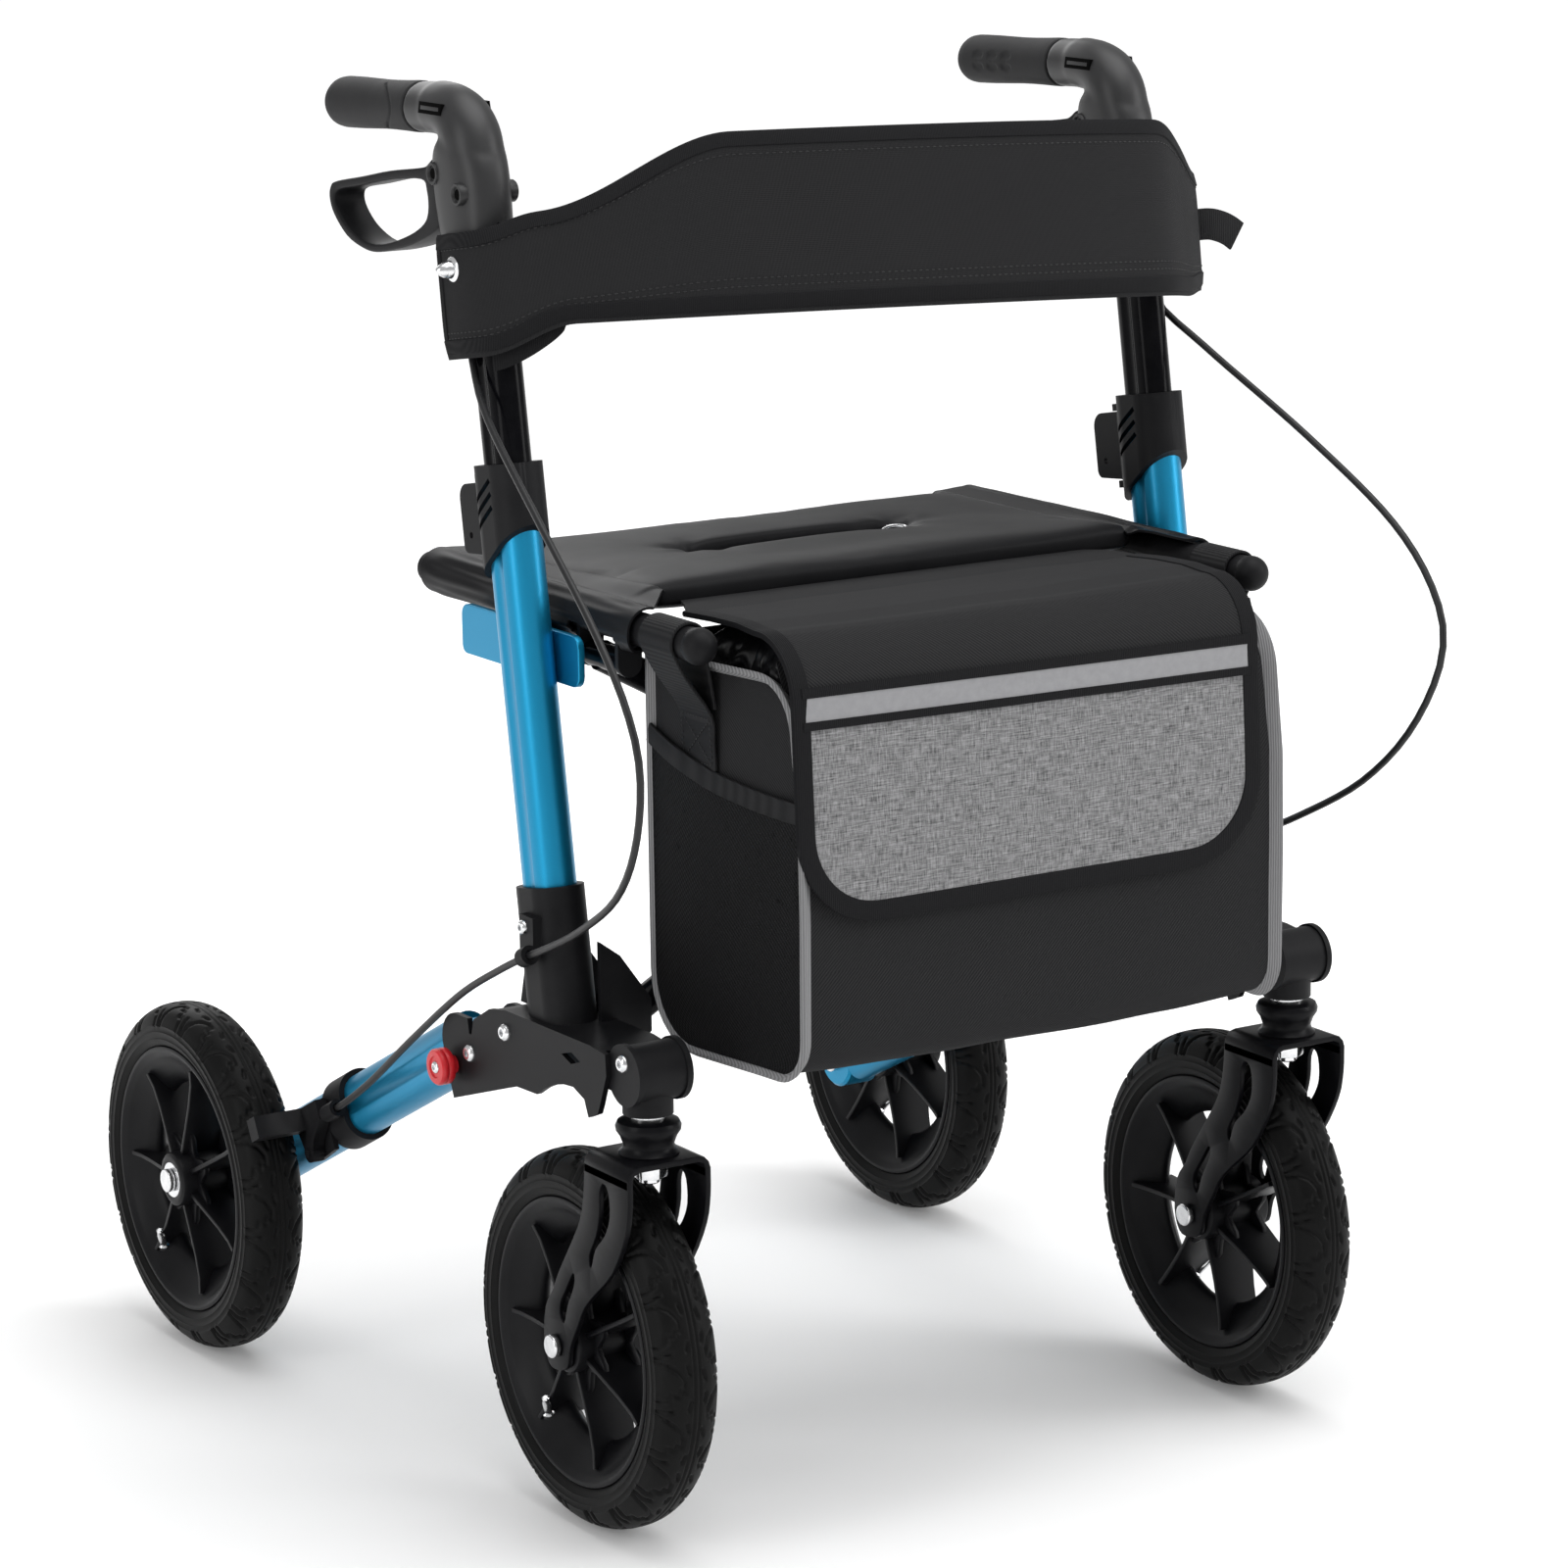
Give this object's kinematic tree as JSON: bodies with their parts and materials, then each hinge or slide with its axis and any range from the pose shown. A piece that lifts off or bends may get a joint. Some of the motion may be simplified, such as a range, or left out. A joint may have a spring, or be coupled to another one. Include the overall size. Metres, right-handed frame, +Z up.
{
  "type": "all terrain rollator",
  "caption": "Walking frame on large tyres with a sling seat, back band, front bag, folding cross brace, sliding handles, hand brakes and swivelling front casters.",
  "frame": {"origin": "centre of the overall box at floor level, under the bag's rear side", "axes": "+Z up, -Y towards the casters and the bag, +X across from left to right as seen from the front camera"},
  "size_m": [0.67, 0.7799, 0.9365],
  "materials": {
    "frame_blue": "metallic blue lacquer",
    "post_black": "gloss black",
    "fork_black": "gloss black powder coat",
    "bracket_black": "matt black",
    "plastic_black": "matt black",
    "rim_plastic": "satin black",
    "red_plastic": "red",
    "grip_rubber": "matt black",
    "tyre_rubber": "matt black",
    "cable_jacket": "satin black",
    "bright_steel": "bright",
    "seat_cloth": "black coated cloth",
    "bag_cloth": "black twill",
    "flap_cloth": "grey mottled weave",
    "band_cloth": "black foam-backed cloth"
  },
  "bodies": {
    "frame_left": {"upright_tube_left": "frame_blue", "height_collar_left": "plastic_black", "hinge_bracket_left": "bracket_black", "seat_saddle_left": "frame_blue", "caster_head_left": "plastic_black", "frame_screws_left": "bright_steel", "brake_cable_left": "cable_jacket"},
    "frame_right": {"upright_tube_right": "frame_blue", "height_collar_right": "plastic_black", "hinge_bracket_right": "bracket_black", "seat_saddle_right": "frame_blue", "caster_head_right": "plastic_black", "frame_screws_right": "bright_steel", "brake_cable_right": "cable_jacket"},
    "handle_left": {"handle_post_left": "post_black", "handle_housing_left": "plastic_black", "hand_grip_left": "grip_rubber", "backrest_band": "band_cloth"},
    "handle_right": {"handle_post_right": "post_black", "handle_housing_right": "plastic_black", "hand_grip_right": "grip_rubber"},
    "clamp_lever_left": {"clamp_lever_left": "plastic_black"},
    "clamp_lever_right": {"clamp_lever_right": "plastic_black"},
    "brake_lever_left": {"brake_lever_left": "plastic_black"},
    "brake_lever_right": {"brake_lever_right": "plastic_black"},
    "rear_leg_left": {"rear_leg_left": "frame_blue", "brake_mount_left": "plastic_black", "rear_axle_left": "bright_steel"},
    "rear_leg_right": {"rear_leg_right": "frame_blue", "brake_mount_right": "plastic_black", "rear_axle_right": "bright_steel"},
    "release_button_left": {"release_button_left": "red_plastic"},
    "release_button_right": {"release_button_right": "red_plastic"},
    "brake_shoe_left": {"brake_shoe_left": "plastic_black"},
    "brake_shoe_right": {"brake_shoe_right": "plastic_black"},
    "rear_wheel_left": {"rear_tyre_left": "tyre_rubber", "rear_rim_left": "rim_plastic", "rear_bearings_left": "bright_steel"},
    "rear_wheel_right": {"rear_tyre_right": "tyre_rubber", "rear_rim_right": "rim_plastic", "rear_bearings_right": "bright_steel"},
    "caster_left": {"caster_fork_left": "fork_black", "front_axle_left": "bright_steel"},
    "caster_right": {"caster_fork_right": "fork_black", "front_axle_right": "bright_steel"},
    "front_wheel_left": {"front_tyre_left": "tyre_rubber", "front_rim_left": "rim_plastic", "front_bearings_left": "bright_steel"},
    "front_wheel_right": {"front_tyre_right": "tyre_rubber", "front_rim_right": "rim_plastic", "front_bearings_right": "bright_steel"},
    "seat_rail_left": {"seat_rail_left": "post_black", "seat_sleeve_left": "seat_cloth", "seat_pad": "seat_cloth", "bag_body": "bag_cloth"},
    "seat_rail_right": {"seat_rail_right": "post_black", "seat_sleeve_right": "seat_cloth"},
    "cross_brace_a": {"cross_brace_a": "post_black"},
    "cross_brace_b": {"cross_brace_b": "post_black"},
    "bag_flap": {"bag_flap": "flap_cloth"}
  },
  "joints": [
    {"name": "fold", "type": "hinge", "parent": "frame_left", "child": "cross_brace_a", "pos_m": [-0.217, -0.19, 0.334], "axis": [0, -1, 0], "range_deg": [0, 25], "deforming": ["seat_pad", "bag_body", "bag_flap", "backrest_band"]},
    {"name": "brace_cross", "type": "hinge", "parent": "cross_brace_a", "child": "cross_brace_b", "pos_m": [0, -0.19, 0.453], "axis": [0, -1, 0], "range_deg": [-50, 0]},
    {"name": "frame_right_pivot", "type": "hinge", "parent": "cross_brace_b", "child": "frame_right", "pos_m": [0.217, -0.19, 0.334], "axis": [0, -1, 0], "range_deg": [0, 25]},
    {"name": "seat_rail_left_pivot", "type": "hinge", "parent": "cross_brace_b", "child": "seat_rail_left", "pos_m": [-0.217, -0.19, 0.572], "axis": [0, -1, 0], "range_deg": [0, 25]},
    {"name": "seat_rail_right_pivot", "type": "hinge", "parent": "cross_brace_a", "child": "seat_rail_right", "pos_m": [0.217, -0.19, 0.572], "axis": [0, -1, 0], "range_deg": [-25, 0]},
    {"name": "bag_flap_open", "type": "hinge", "parent": "seat_rail_left", "child": "bag_flap", "pos_m": [0, -0.239, 0.604], "axis": [-1, 0, 0], "range_deg": [0, 100]},
    {"name": "handle_left_height", "type": "slide", "parent": "frame_left", "child": "handle_left", "axis": [0, 0.153, 0.9882], "range_m": [-0.05, 0.08], "deforming": ["brake_cable_left"]},
    {"name": "clamp_lever_left_flip", "type": "hinge", "parent": "frame_left", "child": "clamp_lever_left", "pos_m": [-0.256, -0.10412, 0.65558], "axis": [0, 0.153, 0.9882], "range_deg": [0, 100]},
    {"name": "brake_lever_left_squeeze", "type": "hinge", "parent": "handle_left", "child": "brake_lever_left", "pos_m": [-0.256, -0.066, 0.878], "axis": [1, 0, 0], "range_deg": [0, 12], "stiffness_Nm_per_rad": 1.5, "springref_deg": -11.46},
    {"name": "rear_leg_left_swing", "type": "hinge", "parent": "frame_left", "child": "rear_leg_left", "pos_m": [-0.256, -0.103, 0.297], "axis": [1, 0, 0], "range_deg": [0, 90], "deforming": ["brake_cable_left"]},
    {"name": "release_button_left_press", "type": "slide", "parent": "frame_left", "child": "release_button_left", "axis": [1, 0, 0], "range_m": [0, 0.004], "stiffness_N_per_m": 600, "springref_m": -0.003},
    {"name": "brake_shoe_left_press", "type": "hinge", "parent": "rear_leg_left", "child": "brake_shoe_left", "pos_m": [-0.28, 0.12991, 0.17182], "axis": [-1, 0, 0], "range_deg": [0, 4.5]},
    {"name": "rear_wheel_left_spin", "type": "hinge", "parent": "rear_leg_left", "child": "rear_wheel_left", "pos_m": [-0.304, 0.263, 0.127], "axis": [1, 0, 0], "continuous": true},
    {"name": "caster_left_swivel", "type": "hinge", "parent": "frame_left", "child": "caster_left", "pos_m": [-0.256, -0.294, 0.29], "axis": [0, 0, 1], "continuous": true},
    {"name": "front_wheel_left_spin", "type": "hinge", "parent": "caster_left", "child": "front_wheel_left", "pos_m": [-0.256, -0.223, 0.127], "axis": [1, 0, 0], "continuous": true},
    {"name": "handle_right_height", "type": "slide", "parent": "frame_right", "child": "handle_right", "axis": [0, 0.153, 0.9882], "range_m": [-0.05, 0.08], "deforming": ["brake_cable_right"]},
    {"name": "clamp_lever_right_flip", "type": "hinge", "parent": "frame_right", "child": "clamp_lever_right", "pos_m": [0.256, -0.10412, 0.65558], "axis": [0, -0.153, -0.9882], "range_deg": [0, 100]},
    {"name": "brake_lever_right_squeeze", "type": "hinge", "parent": "handle_right", "child": "brake_lever_right", "pos_m": [0.256, -0.066, 0.878], "axis": [1, 0, 0], "range_deg": [0, 12], "stiffness_Nm_per_rad": 1.5, "springref_deg": -11.46},
    {"name": "rear_leg_right_swing", "type": "hinge", "parent": "frame_right", "child": "rear_leg_right", "pos_m": [0.256, -0.103, 0.297], "axis": [1, 0, 0], "range_deg": [0, 90], "deforming": ["brake_cable_right"]},
    {"name": "release_button_right_press", "type": "slide", "parent": "frame_right", "child": "release_button_right", "axis": [-1, 0, 0], "range_m": [0, 0.004], "stiffness_N_per_m": 600, "springref_m": -0.003},
    {"name": "brake_shoe_right_press", "type": "hinge", "parent": "rear_leg_right", "child": "brake_shoe_right", "pos_m": [0.28, 0.12991, 0.17182], "axis": [-1, 0, 0], "range_deg": [0, 4.5]},
    {"name": "rear_wheel_right_spin", "type": "hinge", "parent": "rear_leg_right", "child": "rear_wheel_right", "pos_m": [0.304, 0.263, 0.127], "axis": [1, 0, 0], "continuous": true},
    {"name": "caster_right_swivel", "type": "hinge", "parent": "frame_right", "child": "caster_right", "pos_m": [0.256, -0.294, 0.29], "axis": [0, 0, 1], "continuous": true},
    {"name": "front_wheel_right_spin", "type": "hinge", "parent": "caster_right", "child": "front_wheel_right", "pos_m": [0.256, -0.223, 0.127], "axis": [1, 0, 0], "continuous": true}
  ],
  "couplings": [
    {"joint": "brace_cross", "follows": "fold", "ratio": -2},
    {"joint": "frame_right_pivot", "follows": "fold", "ratio": 1},
    {"joint": "seat_rail_left_pivot", "follows": "fold", "ratio": 1},
    {"joint": "seat_rail_right_pivot", "follows": "fold", "ratio": -1},
    {"joint": "handle_right_height", "follows": "handle_left_height", "ratio": 1},
    {"joint": "brake_shoe_left_press", "follows": "brake_lever_left_squeeze", "ratio": 0.375},
    {"joint": "brake_shoe_right_press", "follows": "brake_lever_right_squeeze", "ratio": 0.375}
  ]
}
